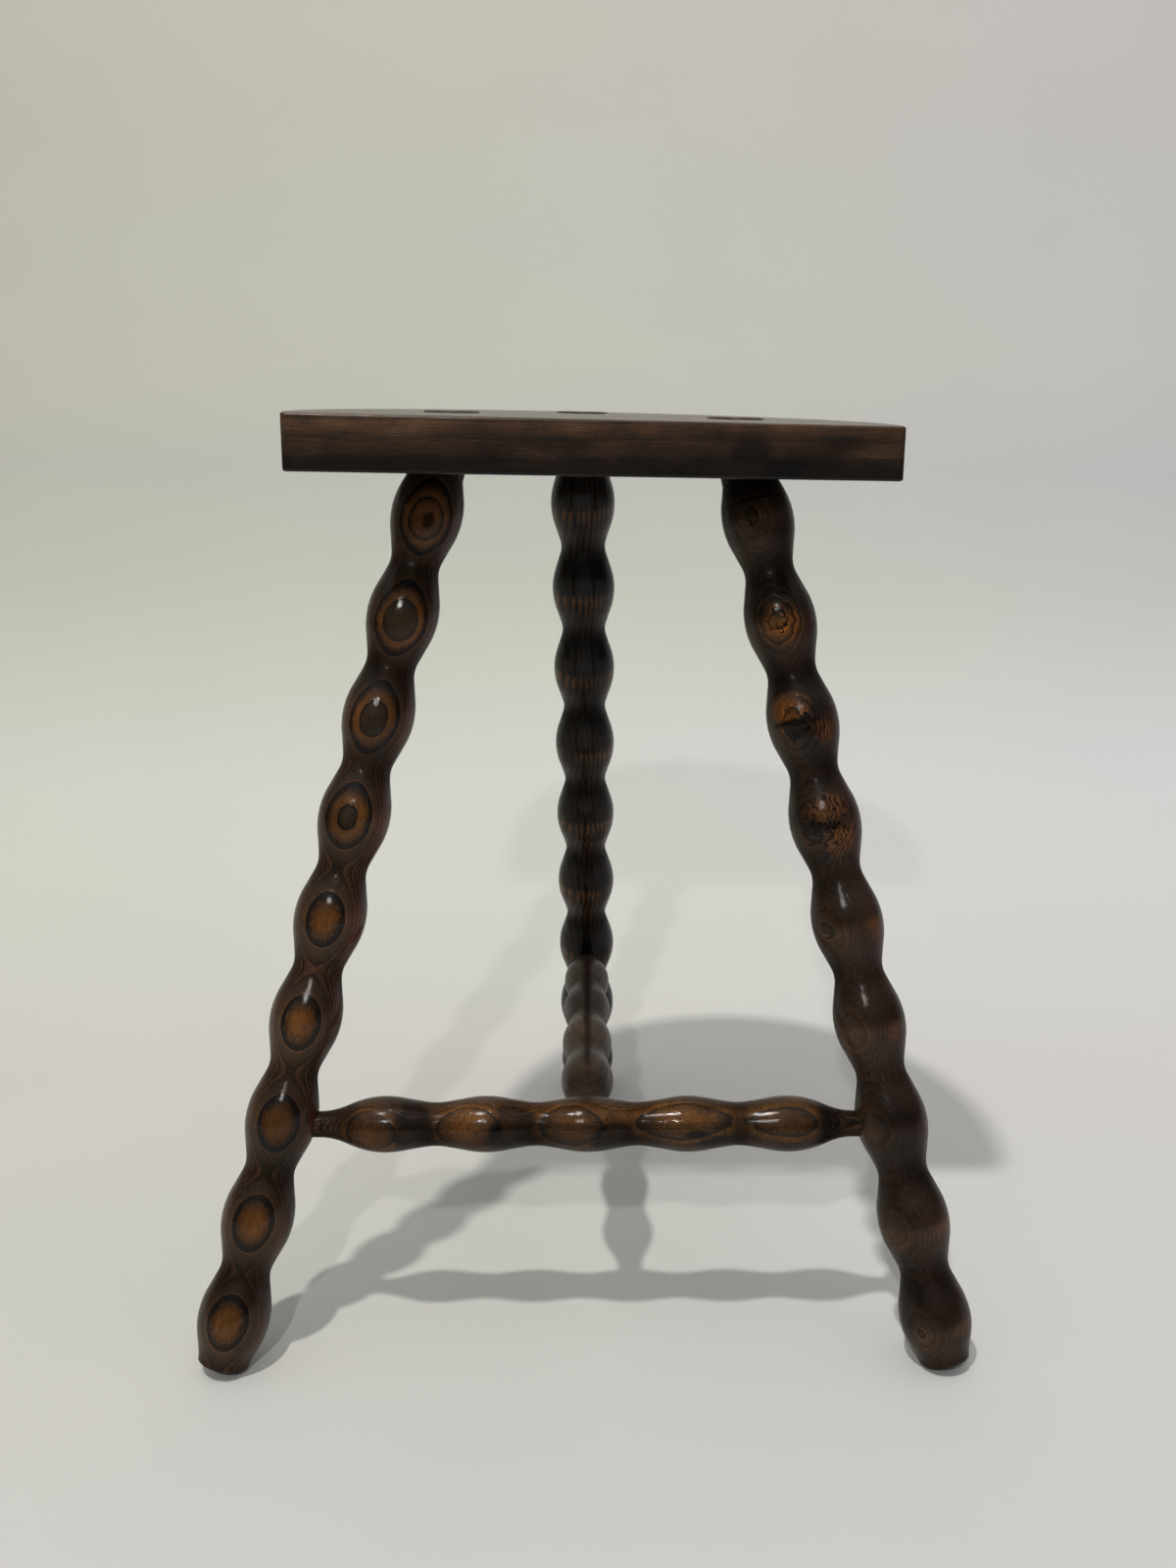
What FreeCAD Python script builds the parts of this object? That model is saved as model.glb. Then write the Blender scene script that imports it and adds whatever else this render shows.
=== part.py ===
import FreeCAD, Part
import math
import os
import Sketcher

# Bobbin-turned tripod stool: a half-moon seat on three splayed legs, braced by a T of two stretchers.
# Millimetres. +Z is up, the floor is z = 0, the straight edge of the seat faces -Y, and the origin is
# on the floor in the middle of the stool's plan.

Vector = FreeCAD.Vector
Placement = FreeCAD.Placement
Rotation = FreeCAD.Rotation

NODE_NAMES = []
LEGS = ("front_left", "front_right", "rear")

doc = FreeCAD.newDocument("bobbin_stool")

# Driving sizes

SIZES = {
    # Seat board: straight front edge and rounded back. Its height and thickness are those in the
    # middle of the straight edge, which falls and thins by these amounts from left to right
    "seat_edge_length": 279.2,
    "seat_depth": 197.0,
    "seat_widest_back": 36.8,
    "seat_front_y": -133.8,
    "seat_centre_x": 0.8,
    "seat_height": 468.9,
    "seat_fall": 4.4,
    "seat_thickness": 25.05,
    "seat_thinning": 1.7,
    "seat_arris_round": 1.2,
    "seat_corner_round": 2.5,
    # Legs: a string of equal beads, a round tenon right through the seat, and a foot sawn square to
    # the leg, so that each foot stands on the inner side of its rim
    "leg_bead_count": 9,
    "bead_diameter": 36.0,
    "leg_neck_diameter": 25.0,
    "leg_crest_share": 0.616,
    "leg_cove_share": 0.2385,
    "first_bead_drop": 25.5,
    "tenon_diameter": 27.4,
    "tenon_proud": 0.6,
    "tenon_arris_round": 0.4,
    "foot_diameter": 25.6,
    "foot_arris_round": 1.0,
    # Where each leg's axis meets the underside of the seat and the floor, and how far up the axis
    # from the floor its last bead has its middle. The front legs are set back from the straight edge,
    # and the rear one in from the rounded back
    "front_left_top_x": -75.6,
    "front_left_top_setback": 82.4,
    "front_left_foot_x": -185.0,
    "front_left_foot_y": -162.4,
    "front_left_foot_rise": 28.4,
    "front_right_top_x": 78.9,
    "front_right_top_setback": 79.0,
    "front_right_foot_x": 184.4,
    "front_right_foot_y": -159.7,
    "front_right_foot_rise": 26.2,
    "rear_top_x": -2.8,
    "rear_top_inset": 35.8,
    "rear_foot_x": 5.0,
    "rear_foot_y": 162.5,
    "rear_foot_rise": 22.1,
    # Wedges driven into a saw kerf in each tenon
    "wedge_thickness": 3.6,
    "wedge_tip": 0.8,
    "wedge_depth": 19.0,
    # Stretchers: slimmer beads, and a long ogee down to a round stub at each end. The rear one falls
    # from the front one to the rear leg
    "stretcher_height": 121.5,
    "rear_stretcher_fall": 10.0,
    "stretcher_bead_diameter": 28.1,
    "stretcher_neck_diameter": 21.6,
    "stretcher_pitch": 51.05,
    "stretcher_crest_share": 0.488,
    "stretcher_cove_share": 0.3265,
    "front_stretcher_bead_count": 5,
    "rear_stretcher_bead_count": 4,
    "stub_diameter": 13.0,
    "stub_show": 2.2,
    "stub_past_axis": 3.0,
    "end_crest_share": 0.548,
    "end_cove_share": 0.425,
    # Fits
    "glue_gap": 0.1,
    "socket_end_gap": 1.0,
    # Overrun of every saw cut past the wood that it removes
    "overrun": 60.0,
}


def write_sizes():
    table = doc.addObject("Spreadsheet::Sheet", "sizes")
    for row, (alias, value) in enumerate(SIZES.items(), start=1):
        table.set(f"A{row}", alias)
        table.set(f"B{row}", str(value))
        table.setAlias(f"B{row}", alias)
    doc.recompute()
    return table


sizes = write_sizes()


def number(expression):
    return float(sizes.evalExpression(expression))


def bind(thing, **expressions):
    for name, expression in expressions.items():
        thing.setExpression(name, expression)


# Places worked out from the sizes, as expressions


def radius(alias, grow):
    """Half of a turned diameter, larger by the glue gap where the turning is a cutter for its socket."""
    extra = " + sizes.glue_gap" if grow else ""
    return f"(sizes.{alias} / 2{extra})"


def arc_radius(share, high, low, run):
    """A share of the radius that two equal-angled arcs need to fall from high to low over the run."""
    drop = f"({high} - {low})"
    return f"(sizes.{share} * (({run})^2 + {drop}^2) / (2 * {drop}))"


def seat_level(face, x):
    """Height of the seat's top or underside at a given distance to the right of the origin."""
    along = f"(({x} - sizes.seat_centre_x) / sizes.seat_edge_length)"
    top = f"(sizes.seat_height - {along} * sizes.seat_fall)"
    if face == "top":
        return top
    return f"({top} - sizes.seat_thickness + {along} * sizes.seat_thinning)"


def underside(leg):
    """Height of the seat's underside where the leg's axis meets it."""
    return seat_level("underside", f"sizes.{leg}_top_x")


def top_y(leg):
    """How far the middle of the leg's hole lies behind the origin, on the underside of the seat."""
    if leg == "rear":
        return "(sizes.seat_front_y + sizes.seat_depth - sizes.rear_top_inset)"
    return f"(sizes.seat_front_y + sizes.{leg}_top_setback)"


def leg_lean(leg):
    """How far the leg's axis runs sideways between the underside of the seat and the floor."""
    return f"sqrt((sizes.{leg}_top_x - sizes.{leg}_foot_x)^2 + ({top_y(leg)} - sizes.{leg}_foot_y)^2)"


def leg_length(leg):
    """Length of the leg's axis from the underside of the seat to the floor."""
    return f"sqrt({leg_lean(leg)}^2 + {underside(leg)}^2)"


def leg_pitch(leg):
    """Distance between beads that spreads them from the first one to the one above the foot."""
    run = f"({leg_length(leg)} - sizes.first_bead_drop - sizes.{leg}_foot_rise)"
    return f"({run} / (sizes.leg_bead_count - 1))"


def foot_run(leg):
    """Length from the last bead's middle to the sawn end, whose rounded rim just meets the floor."""
    flat = "(sizes.foot_diameter / 2 - sizes.foot_arris_round)"
    turned = f"sizes.foot_arris_round * ({leg_length(leg)} - {underside(leg)})"
    return f"(sizes.{leg}_foot_rise - ({flat} * {leg_lean(leg)} + {turned}) / {underside(leg)})"


def leg_at(leg, axis, height):
    """Coordinate of the leg's axis at a height above the floor."""
    share = f"({height} / {underside(leg)})"
    top = f"sizes.{leg}_top_x" if axis == "x" else top_y(leg)
    return f"(sizes.{leg}_foot_{axis} + {share} * ({top} - sizes.{leg}_foot_{axis}))"


FRONT_HEIGHT = "sizes.stretcher_height"
REAR_HEIGHT = "(sizes.stretcher_height - sizes.rear_stretcher_fall)"


def stretcher_middle(axis):
    """Coordinate of the middle of the front stretcher's axis."""
    left, right = (leg_at(leg, axis, FRONT_HEIGHT) for leg in ("front_left", "front_right"))
    return f"(({left} + {right}) / 2)"


def span(ends):
    """Length between two points, each given as its x, y and z expressions."""
    squares = [f"({far} - {near})^2" for near, far in zip(*ends)]
    return f"sqrt({' + '.join(squares)})"


def placed_along(start, towards, across):
    """Placement at start with local Z pointing towards a point and local Y as near across as can be."""
    axis = (towards - start).normalize()
    side = across.cross(axis)
    return Placement(start, Rotation(side, across, axis, "ZYX"))


# Turning: sketches of one side of the work, revolved about its axis


def new_body(name, placement):
    body = doc.addObject("PartDesign::Body", name)
    body.Placement = placement
    return body


def origin_plane(body, role):
    return next(plane for plane in body.Origin.OriginFeatures if plane.Role == role)


def new_sketch(body, name, role, offset=None, flipped=False):
    """A sketch on one of the body's own planes, moved along its Y and turned over if asked."""
    sketch = body.newObject("Sketcher::SketchObject", name)
    sketch.AttachmentSupport = (origin_plane(body, role), "")
    sketch.MapMode = "FlatFace"
    if flipped:
        sketch.AttachmentOffset = Placement(Vector(), Rotation(Vector(1, 0, 0), 180))
    if offset:
        sketch.setExpression(".AttachmentOffset.Base.y", offset)
    return sketch


def flank_ends(high, low, run, crest, cove):
    """Where the straight flank leaves the bead's crest arc and where it meets the neck's cove arc."""
    across = crest + cove - (high - low)
    tilt = math.atan2(run, across) - math.acos((crest + cove) / math.hypot(run, across))
    leaves = Vector(high - crest + crest * math.cos(tilt), crest * math.sin(tilt))
    meets = Vector(low + cove - cove * math.cos(tilt), run - cove * math.sin(tilt))
    return tilt, leaves, meets


def arc(centre, size, start, end):
    circle = Part.Circle(centre, Vector(0, 0, 1), size)
    return Part.ArcOfCircle(circle, start, end)


def drive(sketch, *constraint, value=None):
    """Add a constraint, and tie it to the sheet where an expression is given for its value."""
    if value is None:
        sketch.addConstraint(Sketcher.Constraint(*constraint))
        return
    index = sketch.addConstraint(Sketcher.Constraint(*constraint, number(value)))
    sketch.setExpression(f"Constraints[{index}]", value)


def revolve(body, sketch, name):
    turned = body.newObject("PartDesign::Revolution", name)
    turned.Profile = sketch
    turned.ReferenceAxis = (sketch, ["V_Axis"])
    turned.Angle = 360
    return turned


def turn_wave(body, name, high, low, pitch, crest, cove):
    """Revolve the stretch between the middles of two neighbouring beads, downwards from the origin."""
    sketch = new_sketch(body, name + "_outline", "XZ_Plane", flipped=True)
    top, neck, step = number(high), number(low), number(pitch)
    crest_size, cove_size = number(crest), number(cove)
    tilt, leaves, meets = flank_ends(top, neck, step / 2, crest_size, cove_size)
    parts = [
        Part.LineSegment(Vector(0, step), Vector(0, 0)),
        Part.LineSegment(Vector(0, 0), Vector(top, 0)),
        arc(Vector(top - crest_size, 0), crest_size, 0, tilt),
        Part.LineSegment(leaves, meets),
        arc(Vector(neck + cove_size, step / 2), cove_size, math.pi - tilt, math.pi + tilt),
        Part.LineSegment(Vector(meets.x, step - meets.y), Vector(leaves.x, step - leaves.y)),
        arc(Vector(top - crest_size, step), crest_size, -tilt, 0),
        Part.LineSegment(Vector(top, step), Vector(0, step)),
    ]
    sketch.addGeometry(parts, False)
    axis, base, crest_1, flank_1, neck_arc, flank_2, crest_2, lid = range(len(parts))
    # The sketch runs round from the axis along the base, out and in over the wave, and back at the lid
    drive(sketch, "Coincident", axis, 2, base, 1)
    drive(sketch, "Coincident", base, 2, crest_1, 1)
    drive(sketch, "Tangent", crest_1, 2, flank_1, 1)
    drive(sketch, "Tangent", flank_1, 2, neck_arc, 2)
    drive(sketch, "Tangent", neck_arc, 1, flank_2, 1)
    drive(sketch, "Tangent", flank_2, 2, crest_2, 1)
    drive(sketch, "Coincident", crest_2, 2, lid, 1)
    drive(sketch, "Coincident", lid, 2, axis, 1)
    drive(sketch, "Coincident", axis, 2, -1, 1)
    drive(sketch, "PointOnObject", axis, 1, -2)
    drive(sketch, "Horizontal", base)
    drive(sketch, "Horizontal", lid)
    drive(sketch, "PointOnObject", crest_1, 3, -1)
    drive(sketch, "Horizontal", crest_2, 3, lid, 1)
    drive(sketch, "DistanceY", -1, 1, axis, 1, value=pitch)
    drive(sketch, "DistanceX", -1, 1, base, 2, value=high)
    drive(sketch, "DistanceX", -1, 1, lid, 1, value=high)
    drive(sketch, "Radius", crest_1, value=crest)
    drive(sketch, "Radius", crest_2, value=crest)
    drive(sketch, "Radius", neck_arc, value=cove)
    drive(sketch, "DistanceY", -1, 1, neck_arc, 3, value=f"{pitch} / 2")
    drive(sketch, "DistanceX", -1, 1, neck_arc, 3, value=f"{low} + {cove}")
    return revolve(body, sketch, name)


def turn_end(body, name, high, low, run, crest, cove, tail=None, offset=None, flipped=False):
    """Revolve the outer half of an end bead: crest, flank and cove, then a plain round tail if any."""
    sketch = new_sketch(body, name + "_outline", "XZ_Plane", offset, flipped)
    top, neck, reach = number(high), number(low), number(run)
    length = number(tail) if tail else 0
    crest_size, cove_size = number(crest), number(cove)
    tilt, leaves, meets = flank_ends(top, neck, reach, crest_size, cove_size)
    end = reach + length
    parts = [
        Part.LineSegment(Vector(0, end), Vector(0, 0)),
        Part.LineSegment(Vector(0, 0), Vector(top, 0)),
        arc(Vector(top - crest_size, 0), crest_size, 0, tilt),
        Part.LineSegment(leaves, meets),
        arc(Vector(neck + cove_size, reach), cove_size, math.pi, math.pi + tilt),
        Part.LineSegment(Vector(neck, end), Vector(0, end)),
    ]
    if tail:
        parts.append(Part.LineSegment(Vector(neck, reach), Vector(neck, end)))
    sketch.addGeometry(parts, False)
    axis, base, crest_arc, flank, neck_arc, lid = range(6)
    drive(sketch, "Coincident", axis, 2, base, 1)
    drive(sketch, "Coincident", base, 2, crest_arc, 1)
    drive(sketch, "Tangent", crest_arc, 2, flank, 1)
    drive(sketch, "Tangent", flank, 2, neck_arc, 2)
    if tail:
        plain = len(parts) - 1
        drive(sketch, "Coincident", neck_arc, 1, plain, 1)
        drive(sketch, "Coincident", plain, 2, lid, 1)
        drive(sketch, "Vertical", plain)
        drive(sketch, "DistanceY", plain, 1, plain, 2, value=tail)
    else:
        drive(sketch, "Coincident", neck_arc, 1, lid, 1)
    drive(sketch, "Coincident", lid, 2, axis, 1)
    drive(sketch, "Coincident", axis, 2, -1, 1)
    drive(sketch, "PointOnObject", axis, 1, -2)
    drive(sketch, "Horizontal", base)
    drive(sketch, "Horizontal", lid)
    drive(sketch, "PointOnObject", crest_arc, 3, -1)
    drive(sketch, "DistanceX", -1, 1, base, 2, value=high)
    drive(sketch, "Radius", crest_arc, value=crest)
    drive(sketch, "Radius", neck_arc, value=cove)
    drive(sketch, "DistanceY", -1, 1, neck_arc, 3, value=run)
    drive(sketch, "DistanceX", -1, 1, neck_arc, 3, value=f"{low} + {cove}")
    return revolve(body, sketch, name)


def repeat_wave(body, wave, pitch, beads):
    """Repeat the first wave down the axis, so that it joins as many beads as the work has."""
    pattern = body.newObject("PartDesign::LinearPattern", "beads")
    pattern.Originals = [wave]
    pattern.Direction = (wave.Profile[0], ["V_Axis"])
    bind(pattern, Length=f"{pitch} * ({beads} - 2)", Occurrences=f"{beads} - 1")
    body.Tip = pattern
    return pattern


def place_leg(leg):
    """The leg's own frame: origin in the middle of its first bead, Z up the axis to the seat."""
    top = Vector(number(f"sizes.{leg}_top_x"), number(top_y(leg)), number(underside(leg)))
    foot = Vector(number(f"sizes.{leg}_foot_x"), number(f"sizes.{leg}_foot_y"), 0)
    downwards = (foot - top).normalize()
    first_bead = top + downwards * number("sizes.first_bead_drop")
    return placed_along(first_bead, top, Vector(0, 1, 0))


def turn_leg(name, leg, grow=False):
    """Beads, the half beads above and below them, and the tenon, before the tenon is sawn off."""
    body = new_body(name, place_leg(leg))
    high, low = radius("bead_diameter", grow), radius("leg_neck_diameter", grow)
    pitch = leg_pitch(leg)
    crest = arc_radius("leg_crest_share", high, low, f"{pitch} / 2")
    cove = arc_radius("leg_cove_share", high, low, f"{pitch} / 2")
    wave = turn_wave(body, "wave", high, low, pitch, crest, cove)
    repeat_wave(body, wave, pitch, "sizes.leg_bead_count")
    turn_end(body, "top_end", high, low, f"{pitch} / 2", crest, cove)
    last = f"-{pitch} * (sizes.leg_bead_count - 1)"
    foot, run = radius("foot_diameter", grow), foot_run(leg)
    crest = arc_radius("leg_crest_share", high, foot, run)
    cove = arc_radius("leg_cove_share", high, foot, run)
    turn_end(body, "foot_end", high, foot, run, crest, cove, offset=last, flipped=True)
    ring = new_sketch(body, "tenon_outline", "XY_Plane")
    ring.addGeometry(Part.Circle(Vector(), Vector(0, 0, 1), number(radius("tenon_diameter", grow))), False)
    drive(ring, "Coincident", 0, 3, -1, 1)
    drive(ring, "Radius", 0, value=radius("tenon_diameter", grow))
    tenon = body.newObject("PartDesign::Pad", "tenon")
    tenon.Profile = ring
    bind(tenon, Length="sizes.first_bead_drop + sizes.seat_thickness + sizes.overrun / 2")
    return body


def turn_stretcher(name, ends, beads, start_half, end_half, grow=False):
    """Beads along the axis between two points, with an ogee, a stub and a tenon at each end.

    start_half and end_half are the half thicknesses of the wood that the two ends enter."""
    start, end = [Vector(*[number(coordinate) for coordinate in point]) for point in ends]
    length = span(ends)
    high, low = radius("stretcher_bead_diameter", grow), radius("stretcher_neck_diameter", grow)
    stub, pitch = radius("stub_diameter", grow), "sizes.stretcher_pitch"
    to_axis = f"(({length} - {pitch} * ({beads} - 1)) / 2)"
    first_bead = start + (end - start).normalize() * number(to_axis)
    body = new_body(name, placed_along(first_bead, start, Vector(0, 0, 1)))
    crest = arc_radius("stretcher_crest_share", high, low, f"{pitch} / 2")
    cove = arc_radius("stretcher_cove_share", high, low, f"{pitch} / 2")
    wave = turn_wave(body, "wave", high, low, pitch, crest, cove)
    repeat_wave(body, wave, pitch, beads)
    gap = " + sizes.socket_end_gap" if grow else ""
    last = f"-{pitch} * ({beads} - 1)"
    for side, half, offset in (("start_end", start_half, None), ("far_end", end_half, last)):
        run = f"({to_axis} - {half} - sizes.stub_show)"
        tail = f"{half} + sizes.stub_show + sizes.stub_past_axis{gap}"
        crest = arc_radius("end_crest_share", high, stub, run)
        cove = arc_radius("end_cove_share", high, stub, run)
        turn_end(body, side, high, stub, run, crest, cove, tail, offset, flipped=bool(offset))
    return body


# Sawing and boring: what one piece loses to another


def cut(base, tool, name):
    piece = doc.addObject("Part::Cut", name)
    piece.Base = base
    piece.Tool = tool
    return piece


def common(base, tool, name):
    piece = doc.addObject("Part::Common", name)
    piece.Base = base
    piece.Tool = tool
    return piece


def waste_box(name, base_height, turn=Rotation()):
    """A block of waste as wide as the whole stool, standing on a plane that may be tilted."""
    box = doc.addObject("Part::Box", name)
    reach = "(sizes.seat_edge_length + sizes.seat_depth)"
    bind(box, Length=f"2 * {reach}", Width=f"2 * {reach}", Height="sizes.overrun * 2")
    corner = Vector(-number(reach), -number(reach), 0)
    centre = Vector(number("sizes.seat_centre_x"), 0, base_height)
    box.Placement = Placement(centre, turn) * Placement(corner, Rotation())
    return box


def ease_ends(leg_piece, name):
    """Round the rims of the tenon's sawn end and of the foot."""
    tenon_round, foot_round = number("sizes.tenon_arris_round"), number("sizes.foot_arris_round")
    tenon_base = number("sizes.seat_height - sizes.seat_fall / 2")
    foot_top = number("sizes.foot_diameter / 2")
    doc.recompute()
    fillet = doc.addObject("Part::Fillet", name)
    fillet.Base = leg_piece
    edges = []
    for index, edge in enumerate(leg_piece.Shape.Edges, start=1):
        if edge.BoundBox.ZMin > tenon_base:
            edges.append((index, tenon_round, tenon_round))
        elif edge.BoundBox.ZMax < foot_top:
            edges.append((index, foot_round, foot_round))
    fillet.Edges = edges
    return fillet


def make_tenon_waste():
    """Everything above the tenons' sawn ends, which stand a hair proud of the tilted seat."""
    tilt = math.degrees(math.atan2(number("sizes.seat_fall"), number("sizes.seat_edge_length")))
    middle = number("sizes.seat_height + sizes.tenon_proud")
    return waste_box("tenon_waste", middle, Rotation(Vector(0, 1, 0), tilt))


def make_kerf(leg):
    """The tapered slot across the end of a tenon, from front to back across the seat's grain."""
    body = new_body(f"kerf_{leg}", place_leg(leg))
    sketch = new_sketch(body, "kerf_outline", "XZ_Plane")
    sawn_end = "(sizes.first_bead_drop + sizes.seat_thickness)"
    bottom = f"({sawn_end} - sizes.wedge_depth)"
    slope = "(sizes.wedge_thickness - sizes.wedge_tip) / (2 * sizes.wedge_depth)"
    top = f"({sawn_end} + sizes.overrun / 2)"
    half_tip, half_top = "sizes.wedge_tip / 2", f"(sizes.wedge_thickness / 2 + sizes.overrun / 2 * {slope})"
    low, high = number(bottom), number(top)
    narrow, wide = number(half_tip), number(half_top)
    corners = [Vector(-narrow, low), Vector(narrow, low), Vector(wide, high), Vector(-wide, high)]
    sides = [Part.LineSegment(corners[i], corners[(i + 1) % len(corners)]) for i in range(len(corners))]
    sketch.addGeometry(sides, False)
    for side in range(len(sides)):
        drive(sketch, "Coincident", side, 2, (side + 1) % len(sides), 1)
    drive(sketch, "Symmetric", 0, 1, 0, 2, -2)
    drive(sketch, "Symmetric", 2, 1, 2, 2, -2)
    drive(sketch, "DistanceY", -1, 1, 0, 1, value=bottom)
    drive(sketch, "DistanceY", -1, 1, 2, 1, value=top)
    drive(sketch, "DistanceX", 0, 1, 0, 2, value=f"2 * {half_tip}")
    drive(sketch, "DistanceX", 2, 2, 2, 1, value=f"2 * {half_top}")
    pad = body.newObject("PartDesign::Pad", "kerf")
    pad.Profile = sketch
    pad.SideType = "Symmetric"
    bind(pad, Length="2 * sizes.tenon_diameter")
    return body


def finish_piece(piece, name):
    """Give the finished piece its label and note it as one of the stool's nodes."""
    piece.Label = name
    NODE_NAMES.append(piece.Name)
    return piece


# Seat board


def ease_edges(board):
    """Round the two corners of the straight edge, and every edge round the top and the underside."""
    arris, corner = number("sizes.seat_arris_round"), number("sizes.seat_corner_round")
    front = number("sizes.seat_front_y") + corner
    doc.recompute()
    fillet = doc.addObject("Part::Fillet", "seat_eased")
    fillet.Base = board
    edges = []
    for index, edge in enumerate(board.Shape.Edges, start=1):
        box = edge.BoundBox
        upright = max(box.XLength, box.YLength) < arris
        if not upright:
            edges.append((index, arris, arris))
        elif box.YMin < front:
            edges.append((index, corner, corner))
    fillet.Edges = edges
    return fillet


def make_seat_board():
    """A plank of falling thickness sawn to a half-moon, with three raked holes for the tenons."""
    plank = doc.addObject("Part::Wedge", "seat_plank")
    # The wedge's own Y runs along the straight edge, half as far again past each end of it, and its
    # own -X runs back from the edge and past the rounded rim
    left = "(sizes.seat_centre_x - sizes.seat_edge_length)"
    right = "(sizes.seat_centre_x + sizes.seat_edge_length)"
    bind(
        plank,
        Xmin="-sizes.seat_front_y - sizes.seat_depth - sizes.overrun",
        Xmax="-sizes.seat_front_y",
        X2min="-sizes.seat_front_y - sizes.seat_depth - sizes.overrun",
        X2max="-sizes.seat_front_y",
        Ymin=left,
        Ymax=right,
        Zmin=seat_level("underside", left),
        Zmax=seat_level("top", left),
        Z2min=seat_level("underside", right),
        Z2max=seat_level("top", right),
    )
    plank.Placement = Placement(Vector(), Rotation(Vector(0, 0, 1), -90))
    # The rounded back is most of an ellipse, widest a little behind the straight edge
    rim = doc.addObject("Part::Ellipse", "seat_rim")
    back = "(sizes.seat_depth - sizes.seat_widest_back)"
    side = f"(sizes.seat_edge_length / 2 / sqrt(1 - (sizes.seat_widest_back / {back})^2))"
    bind(rim, MajorRadius=f"max({back}; {side})", MinorRadius=f"min({back}; {side})")
    centre = Vector(number("sizes.seat_centre_x"), number("sizes.seat_front_y + sizes.seat_widest_back"), 0)
    turn = -90 if number(back) > number(side) else 0
    rim.Placement = Placement(centre, Rotation(Vector(0, 0, 1), turn))
    column = doc.addObject("Part::Extrusion", "seat_column")
    column.Base = rim
    column.DirMode = "Custom"
    column.Dir = Vector(0, 0, 1)
    column.Solid = True
    bind(column, LengthFwd="sizes.seat_height + sizes.overrun")
    board = ease_edges(common(plank, column, "seat_outline"))
    for leg in LEGS:
        board = cut(board, turn_leg(f"hole_{leg}", leg, grow=True), f"seat_bored_{leg}")
    return finish_piece(board, "seat_board")


# Stretchers

FRONT_ENDS = [
    (leg_at("front_left", "x", FRONT_HEIGHT), leg_at("front_left", "y", FRONT_HEIGHT), FRONT_HEIGHT),
    (leg_at("front_right", "x", FRONT_HEIGHT), leg_at("front_right", "y", FRONT_HEIGHT), FRONT_HEIGHT),
]
REAR_ENDS = [
    (stretcher_middle("x"), stretcher_middle("y"), FRONT_HEIGHT),
    (leg_at("rear", "x", REAR_HEIGHT), leg_at("rear", "y", REAR_HEIGHT), REAR_HEIGHT),
]
HALF_LEG = "sizes.bead_diameter / 2"
HALF_STRETCHER = "sizes.stretcher_bead_diameter / 2"


def make_front_stretcher(name, grow=False):
    return turn_stretcher(name, FRONT_ENDS, "sizes.front_stretcher_bead_count", HALF_LEG, HALF_LEG, grow)


def make_rear_stretcher(name, grow=False):
    return turn_stretcher(name, REAR_ENDS, "sizes.rear_stretcher_bead_count", HALF_STRETCHER, HALF_LEG, grow)


# Assembly

make_seat_board()
front_socket = make_front_stretcher("front_socket", grow=True)
rear_socket = make_rear_stretcher("rear_socket", grow=True)
tenon_waste = make_tenon_waste()

for leg in LEGS:
    kerf = make_kerf(leg)
    blank = turn_leg(f"turned_{leg}", leg)
    trimmed = ease_ends(cut(blank, tenon_waste, f"trimmed_{leg}"), f"eased_{leg}")
    bored = cut(trimmed, rear_socket if leg == "rear" else front_socket, f"bored_{leg}")
    slotted = cut(bored, kerf, f"slotted_{leg}")
    finish_piece(slotted, f"leg_{leg}")
    wedge = common(kerf, trimmed, f"wedge_in_{leg}")
    finish_piece(wedge, f"wedge_{leg}")

finish_piece(cut(make_front_stretcher("turned_front"), rear_socket, "bored_front"), "stretcher_front")
finish_piece(make_rear_stretcher("turned_rear_stretcher"), "stretcher_rear")

doc.recompute()

# Every object is sound before anything is written

for thing in doc.Objects:
    if "Invalid" in thing.State or "Error" in thing.State:
        raise RuntimeError(f"{thing.Name} did not build: {thing.State}")

os.makedirs("parts", exist_ok=True)
for name in NODE_NAMES:
    node = doc.getObject(name)
    shape = node.Shape
    if shape.isNull() or not shape.isValid() or len(shape.Solids) != 1:
        raise RuntimeError(f"{node.Label} is not one sound solid")
    box = shape.BoundBox
    print(f"{node.Label}: {shape.Volume / 1000:.1f} cm3, z {box.ZMin:.2f} to {box.ZMax:.2f}")
    shape.exportStep(f"parts/{node.Label}.step")
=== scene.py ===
import math

import bmesh
import bpy
from mathutils import Matrix, Vector

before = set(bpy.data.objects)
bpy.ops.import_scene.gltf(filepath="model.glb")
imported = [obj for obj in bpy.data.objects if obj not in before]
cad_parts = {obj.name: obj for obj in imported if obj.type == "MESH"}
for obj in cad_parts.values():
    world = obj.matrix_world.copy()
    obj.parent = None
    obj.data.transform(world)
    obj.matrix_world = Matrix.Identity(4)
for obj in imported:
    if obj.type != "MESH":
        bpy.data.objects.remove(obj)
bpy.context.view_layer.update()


# The studio: a seamless pale sheet that lies under the stool and curves up behind it, lit from the
# front left by a strong small lamp near the ceiling and a weak one at head height. The camera
# stands in front, just above seat height, and looks down a little.
camera_place = Vector((-0.0110, -0.8127, 0.4833))
camera_turn, camera_dip, camera_roll = math.radians(0.86), math.radians(15.05), math.radians(0.42)
forward = Vector((math.sin(camera_turn) * math.cos(camera_dip),
                  math.cos(camera_turn) * math.cos(camera_dip), -math.sin(camera_dip)))
level = Vector((math.cos(camera_turn), -math.sin(camera_turn), 0))
above = level.cross(forward)
right = math.cos(camera_roll) * level + math.sin(camera_roll) * above
upright = -math.sin(camera_roll) * level + math.cos(camera_roll) * above
lens = bpy.data.cameras.new("camera")
lens.sensor_width, lens.lens = 36, 34.0
lens.clip_start, lens.clip_end = 0.01, 50
camera = bpy.data.objects.new("camera", lens)
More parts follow.
